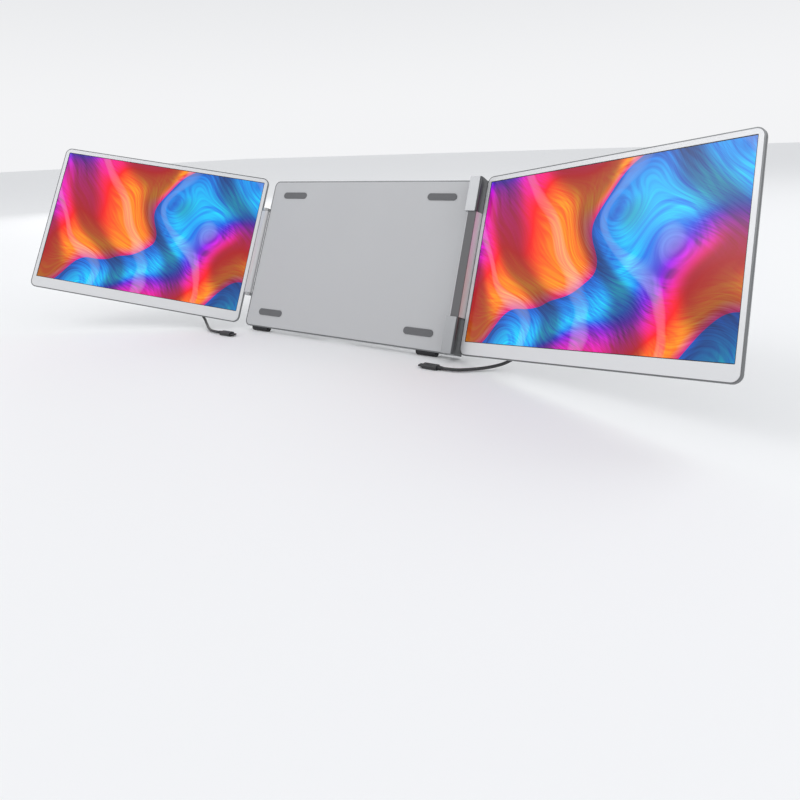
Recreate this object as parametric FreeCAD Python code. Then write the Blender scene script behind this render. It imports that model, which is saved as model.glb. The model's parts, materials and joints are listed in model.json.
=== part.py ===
"""Laptop screen extender: a centre housing that stands behind a laptop, with a monitor hinged on each side.

Frame: X to the right as seen by the person at the laptop, Y away from that person, Z up, millimetres.
Every piece is drawn in the flat frame: the housing upright, its front face at Y = 0 and its bottom edge
at Z = 0, both monitors opened flat beside it and the kickstand folded in. place() then swings each
moving piece, leans the whole object back and sets it down on the desk.
"""
import FreeCAD, Part
import math
import os

Vector = FreeCAD.Vector

# Stance of the object as it stands on the desk, in degrees
lean_angle = 24.0
left_swing = 26.0
right_swing = 21.0

# Centre housing
housing_left = -181.5
housing_right = 178.0
housing_height = 238.0
housing_depth = 11.0
housing_corner = 9.0
housing_wall = 1.5
housing_seam = 0.2
front_plate_depth = 1.6
stiffener_depth = 1.2
stiffener_margin = 26.0
pad_length = 46.0
pad_width = 10.0
pad_depth = 0.9
pad_inset = 24.0

# Rubber feet under the housing
foot_radius = 5.2
foot_length = 30.0
foot_inset = 31.0

# Monitors, measured from the edge beside the hinge and from the bottom edge
monitor_width = 358.0
monitor_height = 240.0
monitor_base = 1.0
monitor_corner = 10.0
thin_depth = 7.0
thick_depth = 13.0
slope_start = 62.0
slope_end = 90.0
bevel_start = 4.0
bevel_inset = 3.0
shell_wall = 1.3
rim_drop = 0.3
bezel_gap = 0.15
bezel_depth = 2.6
bezel_lip = 0.7
side_border = 6.7
top_border = 7.2
bottom_border = 17.4
panel_margin = 2.4
panel_gap = 0.1
panel_depth = 1.8
backplate_depth = 0.5

# Port pocket and ports
pocket_start = 66.0
pocket_end = 124.0
pocket_bottom = 66.0
pocket_top = 154.0
pocket_corner = 4.5
pocket_floor = 4.6
port_level = 8.2
port_spacing = 22.0
port_width = 9.0
port_height = 3.2
port_length = 7.4
port_metal = 0.3
port_clearance = 0.2
video_port_width = 11.4
board_depth = 1.2
board_start = 34.0
board_margin = 22.0
shield_start = 6.0
shield_width = 16.0
shield_height = 32.0
shield_depth = 2.0
post_size = 4.0
post_inset = 4.0

# Push buttons on the top edge
button_count = 3
button_first = 18.0
button_spacing = 12.0
button_length = 7.0
button_height = 3.0
button_level = 8.0
button_travel = 0.6
button_clearance = 0.15
button_recess = 1.0
button_recess_margin = 2.4
button_recess_height = 6.0
button_guide = 2.8
button_flange = 0.8
button_proud = 0.7
switch_gap = 0.1
switch_size = 4.0
button_board_depth = 1.0

# Hinges of the monitors
hinge_gap = 0.5
left_stack_gap = 2.0
stack_gap = 1.5
left_barrel = 5.5
left_reach = 6.5
left_setoff = 7.0
left_web_front = -0.5
left_arm_rear = 12.0
carrier_length = 144.0
carrier_ear = 4.0
carrier_strip = 1.0
right_barrel = 7.8
right_block_width = 17.0
right_block_height = 48.0
right_web_front = -3.5
right_arm_rear = 19.0
block_corner = 3.0
block_pad_width = 17.0
block_pad_depth = 2.5
arm_end_gap = 0.3
pin_radius = 2.5
pin_fit = 0.03
pin_inset = 6.0
tongue_depth = 2.0
tongue_reach = 16.0
tongue_level = 8.6
tongue_margin = 20.0
slot_clearance = 0.15
bracket_depth = 1.5
bracket_reach = 30.0
bracket_start = 3.3
screw_radius = 1.5
screw_head = 2.6
screw_head_depth = 0.9
screw_count = 2
screw_fit = 0.02
screw_place = 9.0

# Speakers
speaker_start = 14.0
speaker_width = 38.0
speaker_bottom = 12.0
speaker_height = 20.0
speaker_front = 4.0
speaker_gap = 0.1

# Kickstand
kick_width = 56.0
kick_gap = 0.5
kick_depth = 3.0
kick_barrel = 1.8
kick_pin = 1.0
kick_axis_drop = 39.0
kick_recess = 3.8
kick_recess_corner = 4.0
kick_lug = 4.0
kick_lug_height = 7.0
kick_bracket_height = 8.0
kick_bracket_depth = 2.0
kick_foot_height = 5.2
kick_foot_radius = 1.6
kick_foot_base = 1.0
plate_recess_width = 36.0
plate_recess_height = 12.0
plate_recess_depth = 0.4
plate_recess_drop = 16.0
cap_radius = 3.2
cap_depth = 1.2
cap_proud = 0.3
cap_drop = 16.0
magnet_radius = 4.0
magnet_depth = 1.2
magnet_height = 20.0

# Plugs and cables
plug_width = 11.0
plug_height = 6.0
plug_length = 20.0
plug_corner = 2.4
plug_tip_width = 8.2
plug_tip_height = 2.4
plug_tip_length = 6.2
relief_length = 8.0
relief_start = 2.7
cable_radius = 2.0
cable_bend = 0.45
cable_sides = 8
left_laptop_plug = (-179.5, -46.8)
right_laptop_plug = (160.5, -48.8)

# Routes of the two cables as they lie, from the monitor's plug to the laptop's plug, in the placed frame
left_route = [
    (-290.6, 2.985, 123.857), (-302.284, -2.221, 126.175), (-317.3, -7.7, 122.1),
    (-329.4, -13.7, 107.4), (-330.0, -18.8, 87.9), (-319.9, -20.3, 68.7), (-305.2, -19.6, 51.3),
    (-290.6, -19.4, 32.0), (-273.0, -15.5, 12.6), (-253.0, -28.3, 5.5), (-235.5, -40.3, 3.2),
    (-221.5, -46.8, 3.0), (-207.5, -46.8, 3.0),
]
right_route = [
    (281.366, 9.387, 121.007), (293.503, 5.131, 122.902), (309.0, -0.1, 117.4),
    (319.9, -5.2, 101.5), (320.1, -10.2, 82.0), (310.6, -12.4, 63.4), (296.5, -12.5, 46.9),
    (281.1, -12.4, 30.1), (260.3, -10.3, 10.1), (240.5, -22.8, 4.0), (219.5, -38.8, 3.0),
    (202.5, -48.8, 3.0), (188.5, -48.8, 3.0),
]

# Worked out from the sizes above
housing_middle = (housing_left + housing_right) / 2
left_axis_x = housing_left - left_setoff
left_axis_y = -left_stack_gap / 2
left_inner = left_axis_x - left_reach
right_axis_x = housing_right + right_block_width / 2
right_axis_y = -(left_stack_gap + thick_depth + stack_gap) / 2
right_reach = right_block_width / 2 + hinge_gap
right_inner = right_axis_x + right_reach
block_front = 2 * right_axis_y
kick_axis_y = housing_depth - kick_barrel
kick_axis_height = housing_height - kick_axis_drop
plate_recess_level = kick_axis_height - plate_recess_drop
cap_height = housing_height - cap_drop
kick_middle = housing_middle
recess_floor = housing_depth - kick_recess


def outline(x0, z0, x1, z1, corner, y):
    """A rounded rectangle in the plane at depth y."""
    corner = min(corner, 0.49 * (x1 - x0), 0.49 * (z1 - z0))
    if corner < 0.05:
        points = [Vector(x0, y, z0), Vector(x1, y, z0), Vector(x1, y, z1), Vector(x0, y, z1)]
        return Part.makePolygon(points + points[:1])
    edges = []
    bow = corner * (1 - math.sqrt(0.5))
    a = [Vector(x0 + corner, y, z0), Vector(x1 - corner, y, z0), Vector(x1 - bow, y, z0 + bow)]
    b = [Vector(x1, y, z0 + corner), Vector(x1, y, z1 - corner), Vector(x1 - bow, y, z1 - bow)]
    c = [Vector(x1 - corner, y, z1), Vector(x0 + corner, y, z1), Vector(x0 + bow, y, z1 - bow)]
    d = [Vector(x0, y, z1 - corner), Vector(x0, y, z0 + corner), Vector(x0 + bow, y, z0 + bow)]
    sides = [a, b, c, d]
    for index, (start, end, middle) in enumerate(sides):
        after = sides[(index + 1) % 4][0]
        edges.append(Part.LineSegment(start, end).toShape())
        edges.append(Part.Arc(end, middle, after).toShape())
    return Part.Wire(edges)


def slab(x0, z0, x1, z1, corner, y0, y1):
    """A plate with rounded corners, from depth y0 to depth y1."""
    face = Part.Face(outline(x0, z0, x1, z1, corner, y0))
    return face.extrude(Vector(0, y1 - y0, 0))


def box(x0, x1, y0, y1, z0, z1):
    return Part.makeBox(x1 - x0, y1 - y0, z1 - z0, Vector(x0, y0, z0))


def rod(radius, start, end):
    """A round bar between two points."""
    along = end - start
    return Part.makeCylinder(radius, along.Length, start, along)


def prism(points, z0, z1):
    """An outline in X and Y, extruded upwards."""
    corners = [Vector(x, y, z0) for x, y in points]
    face = Part.Face(Part.makePolygon(corners + corners[:1]))
    return face.extrude(Vector(0, 0, z1 - z0))


def oval(x0, x1, y, z, width, height):
    """A bar along X whose section is a flat oval, width along Z and height along Y."""
    radius = height / 2 - 0.01
    block = slab_along_x(x0, x1, y - height / 2, y + height / 2, z - width / 2, z + width / 2, radius)
    return block


def slab_along_x(x0, x1, y0, y1, z0, z1, corner):
    """A bar along X whose section is a rounded rectangle."""
    upright = slab(y0, z0, y1, z1, corner, 0, x1 - x0)
    bar = turned(upright, Vector(0, 0, 0), Vector(0, 0, 1), 90)
    # The turn takes X to Y and Y to minus X, so the bar is mirrored onto plus X and then moved along
    bar = bar.mirror(Vector(0, 0, 0), Vector(1, 0, 0))
    bar.translate(Vector(x0, 0, 0))
    return bar


def sound(shape):
    """The shape with every solid facing outwards."""
    solids = []
    for solid in shape.Solids:
        if solid.Volume < 0:
            solid.reverse()
        solids.append(solid)
    if len(solids) == 1:
        return solids[0]
    return Part.makeCompound(solids)


def monitor_block(wall, front):
    """The outside of a monitor, or with a wall its inside, tapered towards the rear."""
    width = monitor_width
    height = monitor_height
    sections = []
    for depth, inset in ((front, 0), (bevel_start, 0), (thick_depth, bevel_inset)):
        edge = wall + inset
        corner = monitor_corner - edge
        sections.append(outline(edge, edge, width - edge, height - edge, corner, depth))
    taper = Part.makeLoft(sections, True, True)
    thin = thin_depth - wall
    thick = thick_depth - wall
    profile = [(-1, front - 1), (width + 1, front - 1), (width + 1, thin), (slope_end, thin),
               (slope_start, thick), (-1, thick)]
    return taper.common(prism(profile, -1, height + 1))


def port_rows():
    """Height of each port on the pocket's wall, with its width."""
    middle = (pocket_bottom + pocket_top) / 2
    return [(middle + port_spacing, port_width), (middle, port_width),
            (middle - port_spacing, video_port_width)]


def button_rows():
    """The place of each button along the top edge."""
    return [button_first + index * button_spacing for index in range(button_count)]


def tongue_range(arm_bottom, arm_top):
    return arm_bottom - monitor_base + tongue_margin, arm_top - monitor_base - tongue_margin


def rear_shell(arm_bottom, arm_top):
    """Rear cover of a monitor, with its rim, port pocket, button recess and hinge slot."""
    body = monitor_block(0, rim_drop)
    hollow = monitor_block(shell_wall, -1)
    pocket_walls = slab(pocket_start - shell_wall, pocket_bottom - shell_wall, pocket_end + shell_wall,
                        pocket_top + shell_wall, pocket_corner + shell_wall, pocket_floor - shell_wall,
                        thick_depth + 1)
    rows = button_rows()
    guide_start = rows[0] - button_length / 2 - button_recess_margin
    guide_end = rows[-1] + button_length / 2 + button_recess_margin
    recess_level = monitor_height - button_recess
    guide = box(guide_start - shell_wall, guide_end + shell_wall, bezel_depth + 1, thick_depth,
                recess_level - button_guide, monitor_height)
    hollow = hollow.cut(pocket_walls).cut(guide)
    body = body.cut(hollow)
    body = body.cut(slab(pocket_start, pocket_bottom, pocket_end, pocket_top, pocket_corner,
                         pocket_floor, thick_depth + 1))
    for height, width in port_rows():
        hole = oval(pocket_start - shell_wall - 1, pocket_start + 1, port_level, height,
                    width + 2 * port_clearance, port_height + 2 * port_clearance)
        body = body.cut(hole)
    recess = box(guide_start, guide_end, button_level - button_recess_height / 2,
                 button_level + button_recess_height / 2, recess_level, monitor_height + 1)
    body = body.cut(recess)
    for place in rows:
        hole = button_bar(place, button_clearance, recess_level - button_guide - 1, monitor_height + 1)
        body = body.cut(hole)
    low, high = tongue_range(arm_bottom, arm_top)
    slot = box(-1, shell_wall + bevel_inset + 1, tongue_level - tongue_depth / 2 - slot_clearance,
               tongue_level + tongue_depth / 2 + slot_clearance, low - slot_clearance,
               high + slot_clearance)
    body = body.cut(slot)
    board_rear = port_level - port_height / 2
    for x in (board_start + post_inset, pocket_start - shell_wall - post_inset):
        for z in (pocket_bottom - board_margin + post_inset, pocket_top + board_margin - post_inset):
            post = box(x - post_size / 2, x + post_size / 2, board_rear, thick_depth - shell_wall / 2,
                       z - post_size / 2, z + post_size / 2)
            body = body.fuse(post)
    return body


def button_bar(place, extra, z0, z1):
    """The upright stem of a button, wider by the extra all round."""
    width = button_length + 2 * extra
    depth = button_height + 2 * extra
    return box(place - width / 2, place + width / 2, button_level - depth / 2, button_level + depth / 2,
               z0, z1)


def push_button(place):
    """A button with its flange under the guide, standing a little proud of its recess."""
    guide_bottom = monitor_height - button_recess - button_guide
    top = monitor_height - button_recess + button_proud
    stem = button_bar(place, 0, guide_bottom - button_clearance - button_flange, top)
    edges = [edge for edge in stem.Edges if edge.BoundBox.ZMin > top - 0.01]
    stem = stem.makeFillet(0.5, edges)
    flange = button_bar(place, button_flange, guide_bottom - button_clearance - button_flange,
                        guide_bottom - button_clearance)
    return stem.fuse(flange).removeSplitter()


def button_board():
    """Strip of circuit board under the buttons, with a switch below each."""
    guide_bottom = monitor_height - button_recess - button_guide
    switch_top = guide_bottom - button_clearance - button_flange - button_travel - switch_gap
    rows = button_rows()
    top = switch_top - 1.5
    board = box(rows[0] - button_length, rows[-1] + button_length, bezel_depth + 1.5,
                thick_depth - shell_wall - 0.1, top - button_board_depth, top)
    for place in rows:
        half = switch_size / 2
        board = board.fuse(box(place - half, place + half, button_level - half, button_level + half,
                               top, switch_top))
    return board


def bezel():
    """Front frame of a monitor, with a rebate that holds the panel."""
    edge = shell_wall + bezel_gap
    frame = slab(edge, edge, monitor_width - edge, monitor_height - edge, monitor_corner - edge,
                 0, bezel_depth)
    window = slab(side_border, bottom_border, monitor_width - side_border, monitor_height - top_border,
                  1.0, -1, bezel_depth + 1)
    seat = panel_margin + panel_gap
    rebate = slab(side_border - seat, bottom_border - seat, monitor_width - side_border + seat,
                  monitor_height - top_border + seat, 1.5, bezel_lip, bezel_depth + 1)
    frame = frame.cut(window).cut(rebate)
    return frame


def display_panel():
    """The glass and backlight of the screen, seated behind the lip of the bezel."""
    front = bezel_lip + panel_gap / 2
    return slab(side_border - panel_margin, bottom_border - panel_margin,
                monitor_width - side_border + panel_margin, monitor_height - top_border + panel_margin,
                1.5, front, front + panel_depth)


def panel_backplate():
    """Thin metal sheet behind the panel."""
    front = bezel_lip + panel_gap * 1.5 + panel_depth
    return slab(side_border, bottom_border, monitor_width - side_border, monitor_height - top_border,
                1.0, front, front + backplate_depth)


def main_board():
    """Circuit board whose edge carries the ports, with a screened block on it."""
    rear = port_level - port_height / 2
    board = box(board_start, pocket_start - shell_wall - port_clearance, rear - board_depth, rear,
                pocket_bottom - board_margin, pocket_top + board_margin)
    height = (pocket_bottom + pocket_top) / 2
    start = board_start + shield_start
    shield = box(start, start + shield_width, rear, rear + shield_depth, height - shield_height / 2,
                 height + shield_height / 2)
    return board.fuse(shield)


def port_shells():
    """Metal sleeves of the two power and data ports and of the video port."""
    sleeves = []
    end = pocket_start - port_clearance
    for height, width in port_rows():
        sleeve = oval(end - port_length, end, port_level, height, width, port_height)
        inside = oval(end - port_length + 0.6, end + 1, port_level, height, width - 2 * port_metal,
                      port_height - 2 * port_metal)
        sleeves.append(sleeve.cut(inside))
    return Part.makeCompound(sleeves)


def speaker():
    """Small speaker box on the inside of the rear cover."""
    return box(speaker_start, speaker_start + speaker_width, speaker_front,
               thick_depth - shell_wall - speaker_gap, speaker_bottom, speaker_bottom + speaker_height)


def hinge_bracket(low, high):
    """Steel plate inside the monitor that the hinge arm is screwed to."""
    rear = tongue_level - tongue_depth / 2
    plate = box(bracket_start, bracket_reach, rear - bracket_depth, rear, low, high)
    for z in screw_rows(low, high):
        hole = rod(screw_radius + screw_fit, Vector(screw_place, 0, z), Vector(screw_place, thick_depth, z))
        plate = plate.cut(hole)
    return plate


def screw_rows(low, high):
    step = (high - low) / screw_count
    return [low + step * (index + 0.5) for index in range(screw_count)]


def hinge_screws(low, high):
    """Screws through the hinge arm's tongue and the bracket."""
    screws = []
    rear = tongue_level + tongue_depth / 2
    front = rear - tongue_depth - bracket_depth
    for z in screw_rows(low, high):
        stem = rod(screw_radius, Vector(screw_place, front, z), Vector(screw_place, rear, z))
        head = rod(screw_head, Vector(screw_place, rear, z),
                   Vector(screw_place, rear + screw_head_depth, z))
        screws.append(stem.fuse(head).removeSplitter())
    return Part.makeCompound(screws)


def hinge_arm(barrel, reach, axis_y, web_front, rear, bottom, top):
    """Hinge arm of a monitor in the monitor's own measures: a barrel on the pin and a web to the cover."""
    axis = -reach
    slim = barrel * 0.25
    a = Vector(axis, axis_y - barrel, bottom)
    b = Vector(axis - barrel * math.sqrt(0.5), axis_y - barrel * math.sqrt(0.5), bottom)
    c = Vector(axis - barrel, axis_y, bottom)
    d = Vector(axis - slim, axis_y + rear - 3, bottom)
    e = Vector(axis - slim + 3, axis_y + rear, bottom)
    f = Vector(bevel_inset + 1, axis_y + rear, bottom)
    g = Vector(bevel_inset + 1, axis_y + web_front, bottom)
    h = Vector(0, axis_y + web_front, bottom)
    edges = [Part.Arc(a, b, c).toShape()]
    for start, end in ((c, d), (d, e), (e, f), (f, g), (g, h), (h, a)):
        edges.append(Part.LineSegment(start, end).toShape())
    arm = Part.Face(Part.Wire(edges)).extrude(Vector(0, 0, top - bottom))
    cover = monitor_block(0, rim_drop)
    front_space = box(0, monitor_width, -thick_depth, bevel_start, 0, monitor_height)
    arm = arm.cut(cover).cut(front_space)
    low = bottom + tongue_margin
    high = top - tongue_margin
    tongue = box(-1, tongue_reach, tongue_level - tongue_depth / 2, tongue_level + tongue_depth / 2,
                 low, high)
    arm = arm.fuse(tongue)
    for z in screw_rows(low, high):
        hole = rod(screw_radius + screw_fit, Vector(screw_place, 0, z), Vector(screw_place, thick_depth, z))
        arm = arm.cut(hole)
    bore = rod(pin_radius + pin_fit, Vector(axis, axis_y, bottom - 1), Vector(axis, axis_y, top + 1))
    arm = arm.cut(bore)
    return sound(arm.removeSplitter())


def plug(start, y, z):
    """A plug that points to minus X: metal tip, body and tapered strain relief."""
    tip = oval(start - plug_tip_length, start + 1, y, z, plug_tip_width, plug_tip_height)
    body = slab_along_x(start, start + plug_length, y - plug_height / 2, y + plug_height / 2,
                        z - plug_width / 2, z + plug_width / 2, plug_corner)
    end = start + plug_length
    relief = Part.makeCone(relief_start, cable_radius, relief_length, Vector(end, y, z), Vector(1, 0, 0))
    return tip.fuse(body).fuse(relief).removeSplitter()


def laptop_plug(x, y):
    """A plug lying flat on the desk, pointing at the laptop that stands in the middle."""
    lying = plug(abs(x), 0, 0)
    lying.rotate(Vector(0, 0, 0), Vector(1, 0, 0), 90)
    if x < 0:
        lying = lying.mirror(Vector(0, 0, 0), Vector(1, 0, 0))
    lying.translate(Vector(0, y, plug_height / 2))
    return sound(lying)


def cable(route, name):
    """A round tube along straight runs joined by tangent arcs; prints its radii and volume."""
    points = [Vector(*point) for point in route]
    edges = []
    radii = []
    start = points[0]
    length = 0
    for before, corner, after in zip(points, points[1:], points[2:]):
        inward = (before - corner).normalize()
        outward = (after - corner).normalize()
        half_turn = (math.pi - inward.getAngle(outward)) / 2
        tangent = cable_bend * min((before - corner).Length, (after - corner).Length)
        radius = tangent / math.tan(half_turn)
        radii.append(round(radius, 1))
        arc_start = corner + inward * tangent
        arc_end = corner + outward * tangent
        bisector = (inward + outward).normalize()
        middle = corner + bisector * (radius / math.cos(half_turn) - radius)
        edges.append(Part.LineSegment(start, arc_start).toShape())
        edges.append(Part.Arc(arc_start, middle, arc_end).toShape())
        length += (arc_start - start).Length + 2 * half_turn * radius
        start = arc_end
    edges.append(Part.LineSegment(start, points[-1]).toShape())
    length += (points[-1] - start).Length
    path = Part.Wire(edges)
    along = (points[1] - points[0]).normalize()
    sideways = along.cross(Vector(0, 0, 1)).normalize()
    upwards = sideways.cross(along)
    rim = []
    for index in range(cable_sides):
        angle = 2 * math.pi * index / cable_sides
        rim.append(points[0] + sideways * (cable_radius * math.cos(angle))
                   + upwards * (cable_radius * math.sin(angle)))
    section = Part.makePolygon(rim + rim[:1])
    tube = path.makePipeShell([section], True, False)
    expected = Part.Face(section).Area * length
    print(name, "radii", radii, "length", round(length, 1), "volume ratio", round(tube.Volume / expected, 4))
    return tube


def housing_shell():
    """Rear cover of the centre housing, with the recess that the kickstand folds into."""
    body = slab(housing_left, 0, housing_right, housing_height, housing_corner, 0, housing_depth)
    rear_edges = []
    for edge in body.Edges:
        if edge.BoundBox.YMin > housing_depth - 0.01:
            rear_edges.append(edge)
    body = body.makeFillet(1.2, rear_edges)
    hollow = slab(housing_left + housing_wall, housing_wall, housing_right - housing_wall,
                  housing_height - housing_wall, housing_corner - housing_wall, -1,
                  housing_depth - housing_wall)
    half = kick_width / 2 + kick_gap
    recess_top = kick_axis_height + kick_barrel + kick_gap + kick_bracket_height
    keep = box(kick_middle - half - housing_wall, kick_middle + half + housing_wall,
               recess_floor - housing_wall, housing_depth, 0, recess_top + housing_wall)
    body = body.cut(hollow.cut(keep))
    recess = slab(kick_middle - half, -kick_recess_corner * 3, kick_middle + half, recess_top,
                  kick_recess_corner, recess_floor, housing_depth + 1)
    body = body.cut(recess)
    cap_seat = rod(cap_radius + 0.1, Vector(kick_middle, housing_depth - cap_depth, cap_height),
                   Vector(kick_middle, housing_depth + 1, cap_height))
    body = body.cut(cap_seat)
    magnet_seat = rod(magnet_radius + 0.1, Vector(kick_middle, recess_floor - magnet_depth, magnet_height),
                      Vector(kick_middle, recess_floor + 1, magnet_height))
    body = body.cut(magnet_seat)
    return body


def housing_front_plate():
    """Front plate of the centre housing, dropped into the rim of the rear cover."""
    edge = housing_wall + housing_seam
    return slab(housing_left + edge, edge, housing_right - edge, housing_height - edge,
                housing_corner - edge, 0, front_plate_depth)


def stiffener():
    """Steel sheet inside the housing that carries the hinges."""
    front = front_plate_depth + 0.1
    return slab(housing_left + stiffener_margin, stiffener_margin, housing_right - stiffener_margin,
                housing_height - stiffener_margin, 5.0, front, front + stiffener_depth)


def front_pads():
    """Silicone pads on the front plate where the laptop's lid may touch."""
    pads = []
    for x in (housing_left + pad_inset + pad_length / 2, housing_right - pad_inset - pad_length / 2):
        for z in (pad_inset, housing_height - pad_inset):
            pads.append(slab(x - pad_length / 2, z - pad_width / 2, x + pad_length / 2,
                             z + pad_width / 2, pad_width / 2 - 0.1, -pad_depth, 0))
    return Part.makeCompound(pads)


def rubber_foot(x):
    """Half-round rubber foot under the housing."""
    middle = housing_depth / 2
    bar = rod(foot_radius, Vector(x - foot_length / 2, middle, 0), Vector(x + foot_length / 2, middle, 0))
    reach = foot_radius + 1
    return bar.common(box(x - foot_length, x + foot_length, middle - reach, middle + reach, -reach, 0))


def hinge_block(bottom, top, pin_end):
    """Right hinge block: wraps the housing's edge and carries one end of the pin."""
    x0 = housing_right
    x1 = housing_right + right_block_width
    y0 = block_front
    y1 = housing_depth + block_pad_depth
    x_pad = housing_right - block_pad_width
    points = [(x0, y0), (x1, y0), (x1, y1), (x_pad, y1), (x_pad, housing_depth), (x0, housing_depth)]
    block = prism(points, bottom, top)
    upright = []
    for edge in block.Edges:
        span = edge.BoundBox
        at_right = span.XMin > x1 - 0.01 and span.ZLength > 1
        if at_right:
            upright.append(edge)
    block = block.makeFillet(block_corner, upright)
    axis = Vector(right_axis_x, right_axis_y, 0)
    bore = rod(pin_radius + 0.01, axis + Vector(0, 0, pin_end[0]), axis + Vector(0, 0, pin_end[1]))
    return block.cut(bore)


def hinge_pin(x, y, bottom, top):
    return rod(pin_radius, Vector(x, y, bottom), Vector(x, y, top))


def left_carrier():
    """Left hinge carrier: a strip on the housing's edge with an ear at each end."""
    middle = housing_height / 2
    bottom = middle - carrier_length / 2
    top = middle + carrier_length / 2
    strip_left = housing_left - carrier_strip
    carrier = box(strip_left, housing_left, 2.0, housing_depth - 1.5, bottom, top)
    for z0 in (bottom, top - carrier_ear):
        ear = Part.makeCylinder(left_barrel, carrier_ear, Vector(left_axis_x, left_axis_y, z0))
        bridge = prism([(left_axis_x, left_axis_y + left_barrel * 0.9), (left_axis_x, left_axis_y),
                        (housing_left, 0.4), (housing_left, housing_depth - 1.5),
                        (housing_left - 2.5, housing_depth - 1.5)], z0, z0 + carrier_ear)
        carrier = carrier.fuse(ear).fuse(bridge)
    bore = rod(pin_radius + 0.01, Vector(left_axis_x, left_axis_y, bottom + 1),
               Vector(left_axis_x, left_axis_y, top - 1))
    return sound(carrier.cut(bore).removeSplitter())


def kickstand_leg():
    """Folding leg: a flat blade with a barrel on the hinge pin and a shallow bare recess."""
    half = kick_width / 2
    rear = kick_axis_y + kick_barrel - 0.2
    blade_top = kick_axis_height - kick_lug_height + 2
    blade = slab(kick_middle - half, kick_foot_base + kick_foot_height, kick_middle + half, blade_top,
                 0, rear - kick_depth, rear)
    inner = half - kick_lug - 0.3
    neck = box(kick_middle - inner, kick_middle + inner, rear - kick_depth, rear, blade_top - 1,
               kick_axis_height)
    barrel = rod(kick_barrel, Vector(kick_middle - inner, kick_axis_y, kick_axis_height),
                 Vector(kick_middle + inner, kick_axis_y, kick_axis_height))
    leg = blade.fuse(neck).fuse(barrel)
    leg = leg.cut(slab(kick_middle - plate_recess_width / 2, plate_recess_level - plate_recess_height / 2,
                       kick_middle + plate_recess_width / 2, plate_recess_level + plate_recess_height / 2,
                       3.0, rear - plate_recess_depth, rear + 1))
    bore = rod(kick_pin + pin_fit, Vector(kick_middle - half, kick_axis_y, kick_axis_height),
               Vector(kick_middle + half, kick_axis_y, kick_axis_height))
    leg = leg.cut(bore)
    return sound(leg.removeSplitter())


def kickstand_bracket():
    """Hinge bracket of the kickstand, seated in the top of the recess, with a lug at each end."""
    half = kick_width / 2
    bottom = kick_axis_height - kick_lug_height / 2
    top = kick_axis_height + kick_barrel + kick_gap + kick_bracket_height - 0.2
    bridge_bottom = kick_axis_height + kick_barrel + kick_gap
    bracket = box(kick_middle - half, kick_middle + half, recess_floor, recess_floor + kick_bracket_depth,
                  bridge_bottom, top - kick_recess_corner)
    bracket = bracket.fuse(slab(kick_middle - half, bridge_bottom, kick_middle + half, top,
                                kick_recess_corner, recess_floor, recess_floor + kick_bracket_depth))
    for side in (-1, 1):
        x0 = kick_middle + side * half
        x1 = kick_middle + side * (half - kick_lug)
        lug = box(min(x0, x1), max(x0, x1), recess_floor, housing_depth - 0.1, bottom,
                  bridge_bottom + 2)
        bracket = bracket.fuse(lug)
    bore = rod(kick_pin + 0.01, Vector(kick_middle - half - 1, kick_axis_y, kick_axis_height),
               Vector(kick_middle + half + 1, kick_axis_y, kick_axis_height))
    bracket = bracket.cut(bore)
    return sound(bracket.removeSplitter())


def kickstand_pin():
    half = kick_width / 2
    return rod(kick_pin, Vector(kick_middle - half, kick_axis_y, kick_axis_height),
               Vector(kick_middle + half, kick_axis_y, kick_axis_height))


def kickstand_foot():
    """Rubber strip on the lower end of the leg, rounded where it meets the desk."""
    half = kick_width / 2
    level = kick_axis_y + kick_barrel - 0.2 - kick_depth / 2
    centre = kick_foot_base + kick_foot_radius
    strip = box(kick_middle - half, kick_middle + half, level - kick_foot_radius,
                level + kick_foot_radius, centre, kick_foot_base + kick_foot_height)
    end = rod(kick_foot_radius, Vector(kick_middle - half, level, centre),
              Vector(kick_middle + half, level, centre))
    return sound(strip.fuse(end).removeSplitter())


# Where the desk is in the flat frame's leaned measures, and how far the kickstand opens to reach it
lean = math.radians(lean_angle)
desk_level = -housing_depth / 2 * math.sin(lean) - foot_radius
kick_hinge_level = kick_axis_height * math.cos(lean) - kick_axis_y * math.sin(lean)
kick_length = kick_axis_height - kick_foot_base - kick_foot_radius
kick_offset = kick_barrel - 0.2 - kick_depth / 2


def kick_foot_level(angle):
    """Lowest point of the kickstand's foot for an opening angle, in the leaned frame."""
    down = kick_length * math.cos(angle - lean)
    across = kick_offset * math.sin(angle - lean)
    return kick_hinge_level - down + across - kick_foot_radius


def solve_kick_angle():
    """The opening angle at which the kickstand's foot stands on the desk."""
    low = lean
    high = math.radians(89)
    for _ in range(60):
        middle = (low + high) / 2
        if kick_foot_level(middle) < desk_level:
            low = middle
        else:
            high = middle
    return math.degrees(low)


kick_angle = solve_kick_angle()


def turned(shape, axis_point, axis, angle):
    copy = shape.copy()
    copy.rotate(axis_point, axis, angle)
    return copy


def place(shape, body, shift):
    """Swings a piece with its body, leans it back and sets it down. What lies on the desk stays."""
    if body == "desk":
        return shape
    up = Vector(0, 0, 1)
    if body == "left_monitor":
        shape = turned(shape, Vector(left_axis_x, left_axis_y, 0), up, left_swing)
    elif body == "right_monitor":
        shape = turned(shape, Vector(right_axis_x, right_axis_y, 0), up, -right_swing)
    elif body == "kickstand":
        pivot = Vector(kick_middle, kick_axis_y, kick_axis_height)
        shape = turned(shape, pivot, Vector(1, 0, 0), kick_angle)
    shape = turned(shape, Vector(0, 0, 0), Vector(1, 0, 0), -lean_angle)
    shape.translate(shift)
    return shape


def on_right(shape):
    """From a monitor's own measures to the flat frame, right of the housing."""
    moved = shape.copy()
    moved.translate(Vector(right_inner, 0, monitor_base))
    return moved


def on_left(shape):
    """The mirror image on the left of the housing."""
    moved = shape.mirror(Vector(0, 0, 0), Vector(1, 0, 0))
    moved.translate(Vector(left_inner, 0, monitor_base))
    return moved


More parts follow.
